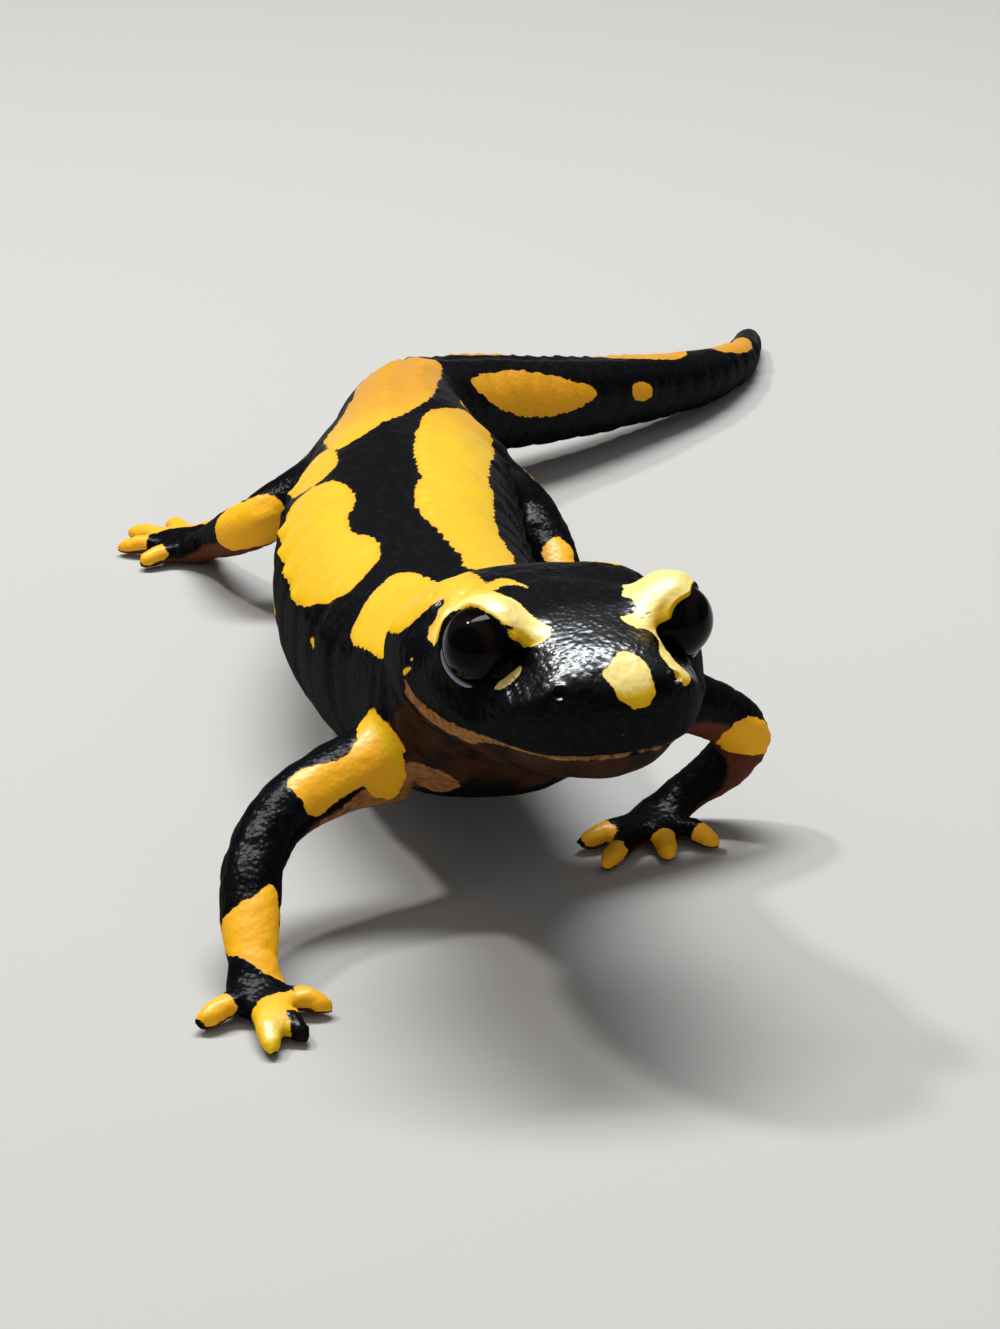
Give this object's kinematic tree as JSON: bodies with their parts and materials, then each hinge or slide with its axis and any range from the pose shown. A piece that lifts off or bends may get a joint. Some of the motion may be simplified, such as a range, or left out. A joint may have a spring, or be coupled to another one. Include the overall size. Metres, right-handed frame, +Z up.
{
  "type": "fire salamander model",
  "caption": "Still life-size model of a fire salamander, black with yellow patches, walking with its head raised.",
  "frame": {"origin": "on the floor, under the middle of the animal's bounding box", "axes": "+Z up; +Y from the snout to the tail, so the snout points to -Y; +X to the animal's left"},
  "size_m": [0.0651, 0.1689, 0.0324],
  "materials": {
    "skin_black": "moist glossy black skin",
    "skin_yellow": "moist satin yellow skin",
    "throat_brown": "satin brown-ochre skin",
    "eye_black": "wet glossy black"
  },
  "bodies": {
    "root": {"head": "skin_black", "lower_jaw": "throat_brown", "eye_left": "eye_black", "eye_right": "eye_black", "neck": "skin_black", "trunk": "skin_black", "tail_root": "skin_black", "tail_middle": "skin_black", "tail_tip": "skin_black", "upper_arm_right": "skin_yellow", "forearm_right": "skin_black", "hand_right": "skin_yellow", "thigh_right": "skin_yellow", "shank_right": "skin_black", "foot_right": "skin_yellow", "upper_arm_left": "skin_yellow", "forearm_left": "skin_black", "hand_left": "skin_yellow", "thigh_left": "skin_yellow", "shank_left": "skin_black", "foot_left": "skin_yellow"}
  },
  "joints": []
}
